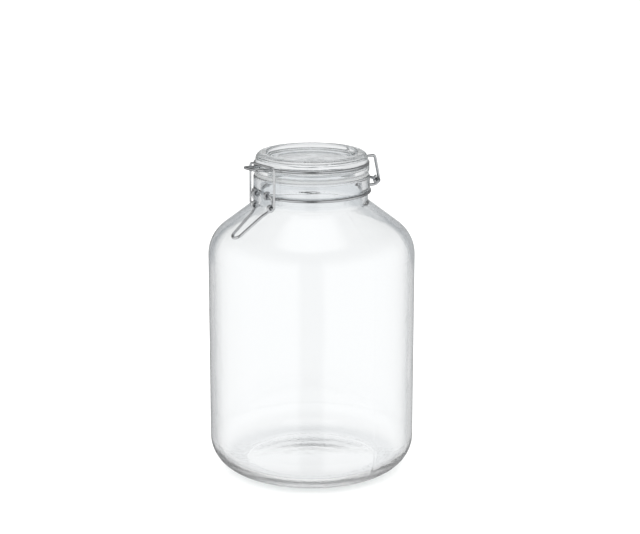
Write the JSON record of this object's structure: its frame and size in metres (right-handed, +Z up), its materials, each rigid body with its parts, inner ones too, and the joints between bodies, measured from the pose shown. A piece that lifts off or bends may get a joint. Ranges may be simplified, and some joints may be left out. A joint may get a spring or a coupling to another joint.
{
  "type": "lidded glass canister",
  "caption": "Large clear glass storage jar with a hinged glass lid, a rubber seal and a wire toggle clamp that pulls the lid shut.",
  "frame": {"origin": "centre of the foot, on the jar's axis, at the surface that it stands on", "axes": "+Z up along the jar's axis; the clamp is towards -Y and the lid's hinge towards +Y"},
  "size_m": [0.18, 0.18, 0.283],
  "materials": {
    "jar_glass": "clear blown soda-lime glass, fire polished",
    "lid_glass": "clear pressed soda-lime glass",
    "wire": "bright drawn stainless steel wire",
    "seal_rubber": "translucent white, satin"
  },
  "bodies": {
    "jar": {"jar_body": "jar_glass", "neck_wire": "wire"},
    "lid": {"lid": "lid_glass", "lid_wire": "wire", "sealing_ring": "seal_rubber"},
    "lever": {"lever": "wire"},
    "link": {"link": "wire"}
  },
  "joints": [
    {"name": "lid_hinge", "type": "hinge", "parent": "jar", "child": "lid", "pos_m": [0, 0.0648, 0.25255], "axis": [-1, 0, 0], "range_deg": [0, 184]},
    {"name": "lever_pivot", "type": "hinge", "parent": "jar", "child": "lever", "pos_m": [0, -0.0532, 0.25193], "axis": [-1, 0, 0], "range_deg": [0, 100]},
    {"name": "link_pivot", "type": "hinge", "parent": "lever", "child": "link", "pos_m": [0, -0.0525, 0.24143], "axis": [1, 0, 0], "range_deg": [0, 110]}
  ],
  "couplings": [
    {"joint": "link_pivot", "follows": "lever_pivot", "ratio": 1.1}
  ]
}
